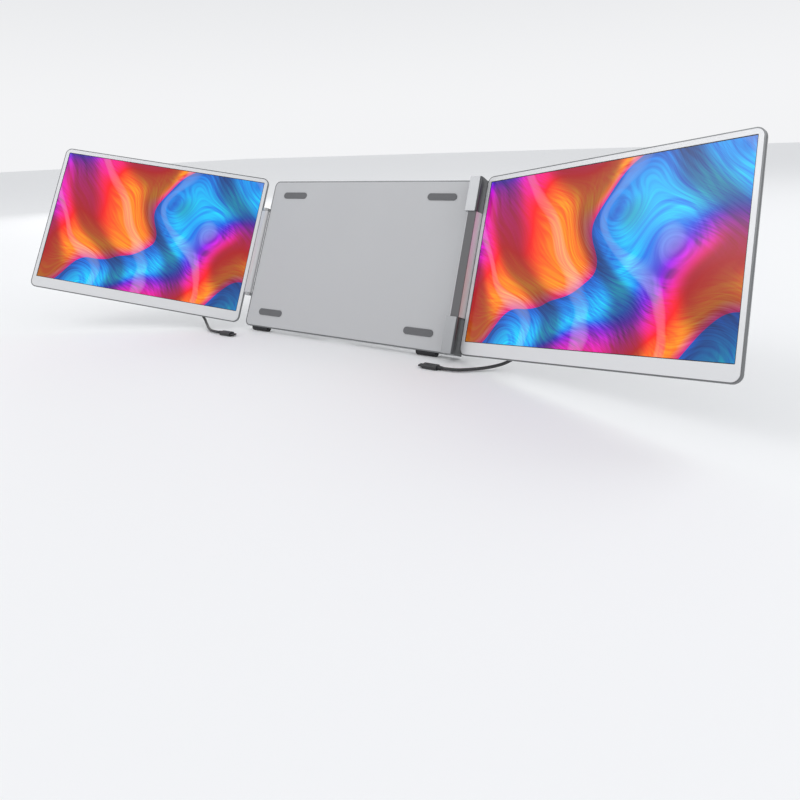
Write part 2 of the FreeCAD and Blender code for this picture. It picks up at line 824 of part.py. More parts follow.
def monitor_pieces(side):
    """Every piece of one monitor, in the flat frame."""
    if side == "right":
        arm_bottom = right_block_height + arm_end_gap
        arm_top = housing_height - right_block_height - arm_end_gap
        arm = hinge_arm(right_barrel, right_reach, right_axis_y, right_web_front, right_arm_rear,
                        arm_bottom - monitor_base, arm_top - monitor_base)
        put = on_right
    else:
        arm_bottom = housing_height / 2 - carrier_length / 2 + carrier_ear + arm_end_gap
        arm_top = housing_height / 2 + carrier_length / 2 - carrier_ear - arm_end_gap
        arm = hinge_arm(left_barrel, left_reach, left_axis_y, left_web_front, left_arm_rear,
                        arm_bottom - monitor_base, arm_top - monitor_base)
        put = on_left
    low, high = tongue_range(arm_bottom, arm_top)
    pieces = {
        "rear_shell": rear_shell(arm_bottom, arm_top),
        "front_bezel": bezel(),
        "display_panel": display_panel(),
        "panel_backplate": panel_backplate(),
        "main_board": main_board(),
        "port_shells": port_shells(),
        "speaker": speaker(),
        "button_board": button_board(),
        "hinge_bracket": hinge_bracket(low, high),
        "hinge_screws": hinge_screws(low, high),
        "hinge_arm": arm,
        "monitor_plug": plug(pocket_start + 0.3, port_level, port_rows()[1][0]),
    }
    for index, place_along in enumerate(button_rows()):
        pieces["button_%d" % (index + 1)] = push_button(place_along)
    return {side + "_" + name: (put(shape), side + "_monitor") for name, shape in pieces.items()}


def centre_pieces():
    """Every piece of the centre housing and the kickstand, in the flat frame."""
    foot_left = housing_left + foot_inset
    foot_right = housing_right - foot_inset
    block_top = housing_height - right_block_height
    middle = housing_height / 2
    pin_low = middle - carrier_length / 2 + 1
    pin_high = middle + carrier_length / 2 - 1
    root = {
        "housing_shell": housing_shell(),
        "housing_front_plate": housing_front_plate(),
        "stiffener_plate": stiffener(),
        "front_pads": front_pads(),
        "left_rubber_foot": rubber_foot(foot_left),
        "right_rubber_foot": rubber_foot(foot_right),
        "right_lower_hinge_block": hinge_block(0, right_block_height, (pin_inset, right_block_height + 1)),
        "right_upper_hinge_block": hinge_block(block_top, housing_height,
                                               (block_top - 1, housing_height - pin_inset)),
        "right_hinge_pin": hinge_pin(right_axis_x, right_axis_y, pin_inset, housing_height - pin_inset),
        "left_hinge_carrier": left_carrier(),
        "left_hinge_pin": hinge_pin(left_axis_x, left_axis_y, pin_low, pin_high),
        "kickstand_bracket": kickstand_bracket(),
        "kickstand_pin": kickstand_pin(),
        "kickstand_magnet": rod(magnet_radius,
                                Vector(kick_middle, recess_floor - magnet_depth, magnet_height),
                                Vector(kick_middle, recess_floor, magnet_height)),
        "rear_screw_cap": rod(cap_radius, Vector(kick_middle, housing_depth - cap_depth, cap_height),
                              Vector(kick_middle, housing_depth + cap_proud, cap_height)),
    }
    moving = {
        "kickstand_leg": kickstand_leg(),
        "kickstand_foot": kickstand_foot(),
    }
    pieces = {name: (shape, "housing") for name, shape in root.items()}
    pieces.update({name: (shape, "kickstand") for name, shape in moving.items()})
    return pieces


def desk_pieces():
    """What lies on the desk, drawn where it lies: the laptop's ends of the cables."""
    return {
        "left_laptop_plug": (laptop_plug(*left_laptop_plug), "desk"),
        "right_laptop_plug": (laptop_plug(*right_laptop_plug), "desk"),
        "left_cable": (cable(left_route, "left_cable"), "desk"),
        "right_cable": (cable(right_route, "right_cable"), "desk"),
    }


def set_down(pieces):
    """The shift that puts the object's feet on Z = 0 with its box centred over the origin."""
    whole = FreeCAD.BoundBox()
    for name, (shape, body) in pieces.items():
        if name in cord_names:
            continue
        whole.add(place(shape, body, Vector(0, 0, 0)).optimalBoundingBox(False, False))
    return Vector(-(whole.XMin + whole.XMax) / 2, -(whole.YMin + whole.YMax) / 2, -desk_level)


cord_names = ["left_monitor_plug", "right_monitor_plug", "left_laptop_plug", "right_laptop_plug",
              "left_cable", "right_cable"]


def build():
    pieces = centre_pieces()
    pieces.update(monitor_pieces("left"))
    pieces.update(monitor_pieces("right"))
    pieces.update(desk_pieces())
    shift = set_down(pieces)
    placed = {}
    for name, (shape, body) in pieces.items():
        placed[name] = sound(place(shape, body, shift))
    return placed, pieces, shift


placed, pieces, shift = build()
os.makedirs("parts", exist_ok=True)
for name, shape in placed.items():
    shape.exportStep(os.path.join("parts", name + ".step"))
print("shift", shift, "kickstand angle", kick_angle)
for name, shape in placed.items():
    print(name, len(shape.Solids), round(shape.Volume / 1000, 2), shape.isValid())
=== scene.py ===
# Laptop screen extender on a pale studio floor: a leaning centre housing with a folding rear leg, and a
# monitor hinged on each side, each with its cable. The script follows the object as it is put together.
import json
import math

import bpy
from mathutils import Matrix, Quaternion, Vector


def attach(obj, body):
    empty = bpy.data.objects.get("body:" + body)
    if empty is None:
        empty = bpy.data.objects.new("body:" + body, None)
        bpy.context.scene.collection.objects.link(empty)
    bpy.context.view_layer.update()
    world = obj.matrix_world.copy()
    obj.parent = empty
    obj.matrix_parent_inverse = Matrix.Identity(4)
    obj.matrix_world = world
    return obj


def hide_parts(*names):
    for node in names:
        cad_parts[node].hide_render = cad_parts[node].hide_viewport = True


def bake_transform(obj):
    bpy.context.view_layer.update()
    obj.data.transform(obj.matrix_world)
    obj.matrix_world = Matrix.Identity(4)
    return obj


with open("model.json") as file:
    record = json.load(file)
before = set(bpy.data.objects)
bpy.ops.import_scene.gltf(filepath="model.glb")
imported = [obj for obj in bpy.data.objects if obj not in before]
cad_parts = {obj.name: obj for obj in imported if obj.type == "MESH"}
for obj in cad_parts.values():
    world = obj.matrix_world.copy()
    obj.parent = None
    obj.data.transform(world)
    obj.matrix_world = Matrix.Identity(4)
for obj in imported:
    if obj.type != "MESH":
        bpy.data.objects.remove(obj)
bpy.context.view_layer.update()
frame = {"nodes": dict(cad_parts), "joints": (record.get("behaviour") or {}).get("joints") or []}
nodes = frame["nodes"]
joints = {joint["name"]: joint for joint in frame["joints"]}

# Studio: a pale floor, a broad key light in front with a softer fill at the side, the same again behind,
# and a white surround, a little greyer higher up, that the satin metal mirrors. The camera stands where
# the photograph's upper view was taken from.
FLOOR_SIZE = 30.0
FLOOR_COLOUR = (0.89, 0.895, 0.90, 1)
FLOOR_ROUGHNESS = 0.75
SURROUND_STRENGTH = 0.92
SURROUND_COLOURS = [(0.0, (0.98, 0.98, 1.0)), (0.52, (0.98, 0.985, 1.0)), (0.66, (0.84, 0.85, 0.87)),
                    (0.85, (0.94, 0.95, 0.97)), (1.0, (0.72, 0.73, 0.75))]
LIGHTS = [
    dict(name="key", place=(-1.8, -1.8, 2.6), target=(0, 0, 0.15), size=(2.0, 1.6), watts=20),
    dict(name="side_fill", place=(2.6, -0.2, 1.6), target=(0.1, 0, 0.15), size=(1.2, 1.2), watts=6),
    dict(name="rear_key", place=(1.8, 2.2, 2.6), target=(0, 0.1, 0.1), size=(1.8, 1.4), watts=20),
    dict(name="rear_fill", place=(-2.4, 1.6, 0.9), target=(0, 0.1, 0.1), size=(0.9, 0.9), watts=6),
]
PHOTO_WIDTH = 800
FOCAL_PIXELS = 679.3
SENSOR_WIDTH = 36.0
NEAREST_SEEN = 0.02
PICTURE_MIDDLE_ROW = 279.0
CAMERA_PLACE = Vector((0.5782, -0.7514, 0.2773))
CAMERA_RIGHT = Vector((0.8466, 0.5308, -0.0389))
CAMERA_DOWN = Vector((0.0713, -0.1856, -0.9800))
CAMERA_FORWARD = Vector((-0.5274, 0.8269, -0.1950))

scene = bpy.context.scene
scene.view_settings.view_transform = "Standard"


def new_material(name):
    """A material with its shader, and short ways to add and to link its nodes."""
    material = bpy.data.materials.new(name)
    material.use_nodes = True
    tree = material.node_tree
    shader = tree.nodes["Principled BSDF"]

    def add(kind, **settings):
        node = tree.nodes.new(kind)
        for key, value in settings.items():
            setattr(node, key, value)
        return node

    return material, shader, add, tree.links.new


def set_ramp(color_ramp, colours):
    """Gives a colour ramp its stops, each a position and a colour."""
    while len(color_ramp.elements) < len(colours):
        color_ramp.elements.new(0.5)
    for stop, (position, colour) in zip(color_ramp.elements, colours):
        stop.position = position
        stop.color = (*colour, 1)


def area_light(name, place, target, size, watts):
    """A rectangular lamp at a place, facing a target."""
    light = bpy.data.lights.new(name, "AREA")
    light.shape = "RECTANGLE"
    light.size, light.size_y = size
    light.energy = watts
    lamp = bpy.data.objects.new(name, light)
    lamp.location = place
    lamp.rotation_mode = "QUATERNION"
    lamp.rotation_quaternion = (Vector(target) - Vector(place)).to_track_quat("-Z", "Y")
    scene.collection.objects.link(lamp)


def mesh_object(name, corners, faces, material, smooth=False):
    """A new object in the scene, from its corners and faces."""
    mesh = bpy.data.meshes.new(name)
    mesh.from_pydata([tuple(corner) for corner in corners], [], faces)
    mesh.materials.append(material)
    if smooth:
        mesh.polygons.foreach_set("use_smooth", [True] * len(mesh.polygons))
    mesh.update()
    made = bpy.data.objects.new(name, mesh)
    scene.collection.objects.link(made)
    return made


floor_finish, shader = new_material("studio_floor")[:2]
shader.inputs["Base Color"].default_value = FLOOR_COLOUR
shader.inputs["Roughness"].default_value = FLOOR_ROUGHNESS
half = FLOOR_SIZE / 2
floor = mesh_object("floor", [(-half, -half, 0), (half, -half, 0), (half, half, 0), (-half, half, 0)],
                    [(0, 1, 2, 3)], floor_finish)

world = bpy.data.worlds.new("studio")
world.use_nodes = True
surround = world.node_tree.nodes["Background"]
surround.inputs["Strength"].default_value = SURROUND_STRENGTH
sky = world.node_tree.nodes.new("ShaderNodeTexCoord")
height = world.node_tree.nodes.new("ShaderNodeSeparateXYZ")
share = world.node_tree.nodes.new("ShaderNodeMapRange")
share.inputs["From Min"].default_value = -1.0
shades = world.node_tree.nodes.new("ShaderNodeValToRGB")
shades.color_ramp.interpolation = "EASE"
set_ramp(shades.color_ramp, SURROUND_COLOURS)
world.node_tree.links.new(sky.outputs["Generated"], height.inputs["Vector"])
world.node_tree.links.new(height.outputs["Z"], share.inputs["Value"])
world.node_tree.links.new(share.outputs["Result"], shades.inputs["Fac"])
world.node_tree.links.new(shades.outputs["Color"], surround.inputs["Color"])
scene.world = world
for settings in LIGHTS:
    area_light(**settings)

camera_data = bpy.data.cameras.new("camera")
camera_data.sensor_width = SENSOR_WIDTH
camera_data.lens = FOCAL_PIXELS * SENSOR_WIDTH / PHOTO_WIDTH
camera_data.shift_y = (PICTURE_MIDDLE_ROW - PHOTO_WIDTH / 2) / PHOTO_WIDTH
camera_data.clip_start = NEAREST_SEEN
camera = bpy.data.objects.new("camera", camera_data)
turn = Matrix((CAMERA_RIGHT, -CAMERA_DOWN, -CAMERA_FORWARD)).transposed()
camera.matrix_world = Matrix.Translation(CAMERA_PLACE) @ turn.to_4x4()
scene.collection.objects.link(camera)
scene.camera = camera


# Directions of each monitor: along it away from its hinge, up it, and out of its back. They come from
# the hinge axis and from how far the hinge stands open.
def directions(side):
    """The outward, up and rear directions of one monitor at rest."""
    hinge = joints[side + "_monitor_hinge"]
    up = Vector((0, abs(hinge["axis"][1]), abs(hinge["axis"][2]))).normalized()
    sign = 1 if side == "right" else -1
    swing = math.radians(-hinge["range_deg"][0])
    flat_rear = Vector((0, up.z, -up.y))
    turned = Quaternion(up, -sign * swing)
    outward = turned @ Vector((sign, 0, 0))
    rear = turned @ flat_rear
    return outward, up, rear


def extent(node, direction):
    """Least and greatest distance of a CAD node's corners along a direction."""
    distances = [corner.co.dot(direction) for corner in nodes[node].data.vertices]
    return min(distances), max(distances)


def along(add, link, direction, start):
    """Distance of the shaded point along a direction, counted from a start."""
    place = add("ShaderNodeTexCoord")
    dot = add("ShaderNodeVectorMath", operation="DOT_PRODUCT")
    dot.inputs[1].default_value = direction
    link(place.outputs["Object"], dot.inputs[0])
    less = add("ShaderNodeMath", operation="SUBTRACT")
    less.inputs[1].default_value = start
    link(dot.outputs["Value"], less.inputs[0])
    return less.outputs["Value"]


def dress(node, finish):
    """Gives a CAD node its finish."""
    mesh = nodes[node].data
    mesh.materials.clear()
    mesh.materials.append(finish)


# Rear shells of the monitors and of the centre housing: pressed aluminium, bead-blasted and anodised
# silver, with a rim beside the front frame painted dark grey, a painted shade and reflection of the
# polished edge. The blasting is a fine even grain, and the sloped stretch of a monitor's shell is painted
# lighter, a painted reflection of the room that the slope mirrors.
SILVER = (0.55, 0.555, 0.565)
# Painted reflection: the slope's stretch of the rear is painted this lighter silver.
SLOPE_PAINTED_REFLECTION = (0.74, 0.745, 0.755)
SLOPE_BAND = (0.0622, 0.0898)
THIN_DEPTH = 0.007
SAFE_DEPTH = 0.0001
# Painted shade: the dark grey of the rim beside the front frame, where the polished edge reads dark.
RIM_PAINTED_SHADE = (0.17, 0.175, 0.18)
RIM_DEPTH = 0.0041
HOUSING_RIM_DEPTH = 0.0022
RIM_BLUR = 0.0002
BLAST_SIZE = 0.00045
BLAST_STRENGTH = 0.22
BLAST_CLOUD_SCALE = 14.0
BLAST_CLOUD = 0.035


def add_grain(add, link, shader, size, strength, depth=0.00002):
    """Fine even grain in the surface, such as bead blasting leaves."""
    place = add("ShaderNodeTexCoord")
    noise = add("ShaderNodeTexNoise")
    noise.inputs["Scale"].default_value = 1 / size
    noise.inputs["Detail"].default_value = 3.0
    bump = add("ShaderNodeBump")
    bump.inputs["Strength"].default_value = strength
    bump.inputs["Distance"].default_value = depth
    link(place.outputs["Object"], noise.inputs["Vector"])
    link(noise.outputs["Fac"], bump.inputs["Height"])
    link(bump.outputs["Normal"], shader.inputs["Normal"])


def add_cloud(add, link, target, low, high, scale):
    """Slow variation of one value over the surface, such as handling leaves."""
    place = add("ShaderNodeTexCoord")
    noise = add("ShaderNodeTexNoise")
    noise.inputs["Scale"].default_value = scale
    noise.inputs["Detail"].default_value = 2.0
    spread = add("ShaderNodeMapRange")
    spread.inputs["From Min"].default_value = 0.3
    spread.inputs["From Max"].default_value = 0.7
    spread.inputs["To Min"].default_value = low
    spread.inputs["To Max"].default_value = high
    link(place.outputs["Object"], noise.inputs["Vector"])
    link(noise.outputs["Fac"], spread.inputs["Value"])
    link(spread.outputs["Result"], target)


def anodised(name, colour, roughness, edge=None, metallic=0.88, band=None):
    """Anodised aluminium. The edge is a direction, a start, a depth and a colour for a darker rim of
    painted shade, and the band of painted reflection, which needs an edge, is a direction, a start, a range
    and a colour for a lighter stretch."""
    material, shader, add, link = new_material(name)
    shader.inputs["Metallic"].default_value = metallic
    shader.inputs["Base Color"].default_value = (*colour, 1)
    add_grain(add, link, shader, BLAST_SIZE, BLAST_STRENGTH)
    add_cloud(add, link, shader.inputs["Roughness"], roughness - BLAST_CLOUD, roughness + BLAST_CLOUD,
              BLAST_CLOUD_SCALE)
    # Painted shade: within the depth from the start the colour turns to the painted dark rim.
    if edge:
        direction, start, depth, painted_shade_colour = edge
        distance = along(add, link, direction, start)
        inside = add("ShaderNodeMapRange", interpolation_type="SMOOTHSTEP")
        inside.inputs["From Min"].default_value = depth - RIM_BLUR
        inside.inputs["From Max"].default_value = depth + RIM_BLUR
        mix = add("ShaderNodeMix", data_type="RGBA")
        mix.inputs["A"].default_value = (*painted_shade_colour, 1)
        mix.inputs["B"].default_value = (*colour, 1)
        link(distance, inside.inputs["Value"])
        link(inside.outputs["Result"], mix.inputs["Factor"])
        link(mix.outputs["Result"], shader.inputs["Base Color"])
    # Painted reflection: a lighter stretch over the band's range, on the rear face only.
    if band:
        direction, start, (band_start, band_end), reflection_colour = band
        distance = along(add, link, direction, start)
        reach = add("ShaderNodeMath", operation="COMPARE")
        reach.inputs[1].default_value = (band_start + band_end) / 2
        reach.inputs[2].default_value = (band_end - band_start) / 2
        lighter = add("ShaderNodeMix", data_type="RGBA")
        lighter.inputs["A"].default_value = (*colour, 1)
        lighter.inputs["B"].default_value = (*reflection_colour, 1)
        outside = add("ShaderNodeMath", operation="GREATER_THAN")
        outside.inputs[1].default_value = THIN_DEPTH - SAFE_DEPTH
        both = add("ShaderNodeMath", operation="MULTIPLY")
        link(distance, reach.inputs[0])
        link(along(add, link, edge[0], edge[1]), outside.inputs[0])
        link(reach.outputs["Value"], both.inputs[0])
        link(outside.outputs["Value"], both.inputs[1])
        link(both.outputs["Value"], lighter.inputs["Factor"])
        link(lighter.outputs["Result"], mix.inputs["B"])
    return material


for side in ("left", "right"):
    outward, _, rear = directions(side)
    shell = side + "_rear_shell"
    front = extent(side + "_front_bezel", rear)[0]
    hinge_edge = extent(shell, outward)[0]
    dress(shell, anodised(side + "_shell_silver", SILVER, roughness=0.36,
                          edge=(rear, front, RIM_DEPTH, RIM_PAINTED_SHADE),
                          band=(outward, hinge_edge, SLOPE_BAND, SLOPE_PAINTED_REFLECTION)))

housing_up = directions("right")[1]
housing_rear = Vector((0, housing_up.z, -housing_up.y))
housing_front = extent("housing_front_plate", housing_rear)[0]
# Painted shade: a dark grey rim painted along the housing's front edge.
dress("housing_shell", anodised("housing_silver", SILVER, roughness=0.34,
                                edge=(housing_rear, housing_front, HOUSING_RIM_DEPTH, RIM_PAINTED_SHADE)))


# Front frames: pale silver painted plastic with a soft sheen, dropped into the rim of the rear shells.
# The paint is a little metallic, under a thin clear coat.
FRAME_SILVER = (0.72, 0.725, 0.735)

frame_finish, shader, add, link = new_material("frame_silver")
shader.inputs["Base Color"].default_value = (*FRAME_SILVER, 1)
shader.inputs["Metallic"].default_value = 0.25
shader.inputs["Coat Weight"].default_value = 0.25
shader.inputs["Coat Roughness"].default_value = 0.2
add_grain(add, link, shader, size=0.0003, strength=0.12)
add_cloud(add, link, shader.inputs["Roughness"], low=0.36, high=0.44, scale=20.0)
for side in ("left", "right"):
    dress(side + "_front_bezel", frame_finish)


# Displays: lit panels under glass. They show a generic design of wide folded bands of silk in blue,
# violet, magenta, red and orange, with fine strands that run along each fold.
DISPLAY_HEIGHT = 0.2154
DISPLAY_LIGHT = 1.05
PANEL_UNDER_FRAME = 0.0024
BLACK_BORDER = 0.0009
PANEL_BLACK = (0.012, 0.012, 0.014, 1)
GLEAM_COLOUR = (0.75, 0.80, 0.95, 1)
FINE_SHARE = 0.45
STRAND_SHARE = 0.75
SHADE_SHARE = 0.85
SATURATION = 1.12
BAND_COLOURS = [
    (0.00, (0.00, 0.05, 0.42)), (0.13, (0.00, 0.22, 0.80)), (0.25, (0.03, 0.58, 0.95)),
    (0.36, (0.05, 0.14, 0.78)), (0.46, (0.30, 0.01, 0.55)), (0.56, (0.85, 0.00, 0.24)),
    (0.67, (0.95, 0.01, 0.01)), (0.79, (1.00, 0.13, 0.00)), (0.90, (1.00, 0.38, 0.05)),
    (1.00, (0.62, 0.00, 0.30)),
]


def display_finish(name, side):
    """A dark glass front that shines with the silk design, and stays black along its edges."""
    outward, up, _ = directions(side)
    across = outward if side == "right" else -outward
    material, shader, add, link = new_material(name)
    panel = side + "_display_panel"
    start = extent(panel, across)[0]
    foot = extent(panel, up)[0]
    place = add("ShaderNodeCombineXYZ")
    for socket, direction, begin in (("X", across, start), ("Y", up, foot)):
        scaled = add("ShaderNodeMath", operation="DIVIDE")
        scaled.inputs[1].default_value = DISPLAY_HEIGHT
        link(along(add, link, direction, begin), scaled.inputs[0])
        link(scaled.outputs["Value"], place.inputs[socket])

    def noise(vector, scale, detail):
        """The outputs of a noise drawn on the place."""
        node = add("ShaderNodeTexNoise")
        node.inputs["Scale"].default_value = scale
        node.inputs["Detail"].default_value = detail
        link(vector, node.inputs["Vector"])
        return node.outputs

    def bent(vector, scale, amount):
        """The place pushed about by a slow noise, which bends whatever is drawn on it."""
        push = noise(vector, scale, detail=1.0)["Color"]
        centred = add("ShaderNodeVectorMath", operation="SUBTRACT")
        centred.inputs[1].default_value = (0.5, 0.5, 0.5)
        link(push, centred.inputs[0])
        strong = add("ShaderNodeVectorMath", operation="SCALE")
        strong.inputs["Scale"].default_value = amount
        link(centred.outputs["Vector"], strong.inputs[0])
        moved = add("ShaderNodeVectorMath", operation="ADD")
        link(vector, moved.inputs[0])
        link(strong.outputs["Vector"], moved.inputs[1])
        return moved.outputs["Vector"]

    def waves(vector, scale, turn, profile):
        """Straight bands across the place, turned in degrees."""
        mapped = add("ShaderNodeMapping")
        mapped.inputs["Rotation"].default_value = (0, 0, math.radians(turn))
        link(vector, mapped.inputs["Vector"])
        node = add("ShaderNodeTexWave", wave_type="BANDS", bands_direction="X", wave_profile=profile)
        node.inputs["Scale"].default_value = scale
        link(mapped.outputs["Vector"], node.inputs["Vector"])
        return node.outputs["Fac"]

    def streaks(vector, lengthwise, crosswise, turn):
        """Fine strands that follow the bends of the place."""
        turned = add("ShaderNodeMapping")
        turned.inputs["Rotation"].default_value = (0, 0, math.radians(turn))
        link(vector, turned.inputs["Vector"])
        drawn = add("ShaderNodeMapping")
        drawn.inputs["Scale"].default_value = (crosswise, lengthwise, 1)
        link(turned.outputs["Vector"], drawn.inputs["Vector"])
        strands = noise(drawn.outputs["Vector"], scale=1.0, detail=2.0)["Fac"]
        return levels(strands, low=0.32, high=0.68, to_low=0.12, to_high=0.88)

    def blend(kind, factor, a, b):
        """Two colours blended in one of Blender's ways, each typed in or linked."""
        node = add("ShaderNodeMix", data_type="RGBA", blend_type=kind)
        if isinstance(factor, float):
            node.inputs["Factor"].default_value = factor
        else:
            link(factor, node.inputs["Factor"])
        for socket, value in (("A", a), ("B", b)):
            if isinstance(value, tuple):
                node.inputs[socket].default_value = value
            else:
                link(value, node.inputs[socket])
        return node.outputs["Result"]

    def levels(value, low, high, to_low, to_high):
        """A value spread smoothly from one range to another."""
        node = add("ShaderNodeMapRange", interpolation_type="SMOOTHSTEP")
        for key, number in (("From Min", low), ("From Max", high), ("To Min", to_low),
                            ("To Max", to_high)):
            node.inputs[key].default_value = number
        link(value, node.inputs["Value"])
        return node.outputs["Result"]

    slow = bent(place.outputs["Vector"], scale=1.1, amount=1.25)
    deep = bent(slow, scale=2.3, amount=0.30)
    folds = waves(deep, scale=0.30, turn=52, profile="SAW")
    ramp = add("ShaderNodeValToRGB")
    ramp.color_ramp.interpolation = "B_SPLINE"
    set_ramp(ramp.color_ramp, BAND_COLOURS)
    link(folds, ramp.inputs["Fac"])
    strands = streaks(deep, lengthwise=3.0, crosswise=42.0, turn=128)
    fine = streaks(slow, lengthwise=6.0, crosswise=150.0, turn=118)
    threads = blend("MIX", FINE_SHARE, strands, fine)
    lit = blend("OVERLAY", STRAND_SHARE, ramp.outputs["Color"], threads)
    second = waves(bent(slow, scale=1.7, amount=0.45), scale=0.62, turn=-24, profile="SIN")
    shade = levels(second, low=0.05, high=0.75, to_low=0.30, to_high=1.0)
    shaded = blend("MULTIPLY", SHADE_SHARE, lit, shade)
    gleam = levels(second, low=0.88, high=1.0, to_low=0.0, to_high=0.20)
    lively = add("ShaderNodeHueSaturation")
    lively.inputs["Saturation"].default_value = SATURATION
    link(blend("SCREEN", gleam, shaded, GLEAM_COLOUR), lively.inputs["Color"])
    edge = add("ShaderNodeMath", operation="MULTIPLY")
    for socket, direction in enumerate((across, up)):
        least, greatest = extent(panel, direction)
        middle = add("ShaderNodeMath", operation="ABSOLUTE")
        link(along(add, link, direction, (least + greatest) / 2), middle.inputs[0])
        within = add("ShaderNodeMath", operation="LESS_THAN")
        within.inputs[1].default_value = (greatest - least) / 2 - PANEL_UNDER_FRAME - BLACK_BORDER
        link(middle.outputs["Value"], within.inputs[0])
        link(within.outputs["Value"], edge.inputs[socket])
    art = blend("MIX", edge.outputs["Value"], (0, 0, 0, 1), lively.outputs["Color"])
    shader.inputs["Base Color"].default_value = PANEL_BLACK
    shader.inputs["Roughness"].default_value = 0.16
    shader.inputs["Specular IOR Level"].default_value = 0.35
    shader.inputs["Emission Strength"].default_value = DISPLAY_LIGHT
    link(art, shader.inputs["Emission Color"])
    return material


for side in ("left", "right"):
    dress(side + "_display_panel", display_finish(side + "_display", side))


# Hinge parts: machined blocks, carrier and arms in satin anodised aluminium. The outer sides of the
# blocks and the front face of the right arm are painted a darker grey, painted shade for the side and
# face that the light misses, and tumbling has softened the edges of the blocks.
BLOCK_SILVER = (0.36, 0.365, 0.375)
BLOCK_SIDE_PAINTED_SHADE = (0.10, 0.102, 0.106)
ARM_SILVER = (0.62, 0.625, 0.63)
ARM_FACE_PAINTED_SHADE = (0.13, 0.13, 0.134)
BLOCK_SHADE_DEPTH = 0.0026
ARM_FACE_TILT = 25.5
ARM_SHADE_DEPTH = 0.0009
CARRIER_SILVER = (0.40, 0.405, 0.41)
BLOCK_ROUNDING = 0.0016
ROUNDING_STEPS = 3
SHARP_FROM = 50
SAME_CORNER = 0.000002

sideways = Vector((-1, 0, 0))
# Painted shade: the blocks' outer side is painted dark grey.
block_start = extent("right_upper_hinge_block", sideways)[0]
block_finish = anodised("block_silver", BLOCK_SILVER, roughness=0.33,
                        edge=(sideways, block_start, BLOCK_SHADE_DEPTH, BLOCK_SIDE_PAINTED_SHADE))
for node in ("right_upper_hinge_block", "right_lower_hinge_block"):
    dress(node, block_finish)
    weld = nodes[node].modifiers.new("weld", "WELD")
    weld.merge_threshold = SAME_CORNER
    bevel = nodes[node].modifiers.new("soft_edges", "BEVEL")
    bevel.width = BLOCK_ROUNDING
    bevel.segments = ROUNDING_STEPS
    bevel.limit_method = "ANGLE"
    bevel.angle_limit = math.radians(SHARP_FROM)
dress("left_hinge_carrier", anodised("carrier_silver", CARRIER_SILVER, roughness=0.4))
dress("left_hinge_arm", anodised("left_arm_silver", ARM_SILVER, roughness=0.45, metallic=0.35))
# Painted shade: a dark grey strip painted on the right arm's front face.
outward, _, rear = directions("right")
tilt = math.radians(ARM_FACE_TILT)
behind_face = rear * math.cos(tilt) - outward * math.sin(tilt)
face_start = extent("right_hinge_arm", behind_face)[0]
dress("right_hinge_arm", anodised("right_arm_silver", ARM_SILVER, roughness=0.45, metallic=0.2,
                                  edge=(behind_face, face_start, ARM_SHADE_DEPTH, ARM_FACE_PAINTED_SHADE)))


# Bare steel parts: turned hinge pins, the rolled stiffener sheet in the housing, and in each monitor the
# pressed hinge bracket with its screws and the folded sleeves of the ports.
STEEL_GREY = (0.44, 0.44, 0.45)

steel, shader, add, link = new_material("brushed_steel")
shader.inputs["Metallic"].default_value = 1.0
shader.inputs["Base Color"].default_value = (*STEEL_GREY, 1)
add_grain(add, link, shader, size=0.0006, strength=0.2)
add_cloud(add, link, shader.inputs["Roughness"], low=0.24, high=0.34, scale=60.0)
for node in ("left_hinge_pin", "right_hinge_pin", "kickstand_pin", "stiffener_plate"):
    dress(node, steel)
for side in ("left", "right"):
    for name in ("hinge_bracket", "hinge_screws", "port_shells"):
        dress(side + "_" + name, steel)


# Kickstand: a blade of brushed aluminium with a shallow recess for its nameplate, hung from a bracket of
# the same metal. The brushing runs across the blade.
KICK_SILVER = (0.56, 0.565, 0.575)
BRUSH_ACROSS = 26.0
BRUSH_FINE = 3400.0
BRUSH_TINT = (0.90, 1.08)
BRUSH_GLOSS = 0.06
BRUSH_DEPTH = 0.00002


def brushed(name, colour, roughness):
    """Aluminium brushed along X: fine streaks in its tint, its gloss and its surface."""
    material, shader, add, link = new_material(name)
    shader.inputs["Metallic"].default_value = 0.9
    place = add("ShaderNodeTexCoord")
    stretch = add("ShaderNodeMapping")
    stretch.inputs["Scale"].default_value = (BRUSH_ACROSS, BRUSH_FINE, BRUSH_FINE)
    streaks = add("ShaderNodeTexNoise")
    streaks.inputs["Scale"].default_value = 1.0
    streaks.inputs["Detail"].default_value = 4.0
    tint = add("ShaderNodeMapRange")
    tint.inputs["To Min"].default_value = BRUSH_TINT[0]
    tint.inputs["To Max"].default_value = BRUSH_TINT[1]
    mix = add("ShaderNodeMix", data_type="RGBA", blend_type="MULTIPLY")
    mix.inputs["Factor"].default_value = 1.0
    mix.inputs["A"].default_value = (*colour, 1)
    gloss = add("ShaderNodeMapRange")
    gloss.inputs["To Min"].default_value = roughness - BRUSH_GLOSS
    gloss.inputs["To Max"].default_value = roughness + BRUSH_GLOSS
    bump = add("ShaderNodeBump")
    bump.inputs["Strength"].default_value = 0.15
    bump.inputs["Distance"].default_value = BRUSH_DEPTH
    link(place.outputs["Object"], stretch.inputs["Vector"])
    link(stretch.outputs["Vector"], streaks.inputs["Vector"])
    link(streaks.outputs["Fac"], tint.inputs["Value"])
    link(tint.outputs["Result"], mix.inputs["B"])
    link(mix.outputs["Result"], shader.inputs["Base Color"])
    link(streaks.outputs["Fac"], gloss.inputs["Value"])
    link(gloss.outputs["Result"], shader.inputs["Roughness"])
    link(streaks.outputs["Fac"], bump.inputs["Height"])
    link(bump.outputs["Normal"], shader.inputs["Normal"])
    return material


kick_finish = brushed("kickstand_silver", KICK_SILVER, roughness=0.34)
for node in ("kickstand_leg", "kickstand_bracket"):
    dress(node, kick_finish)


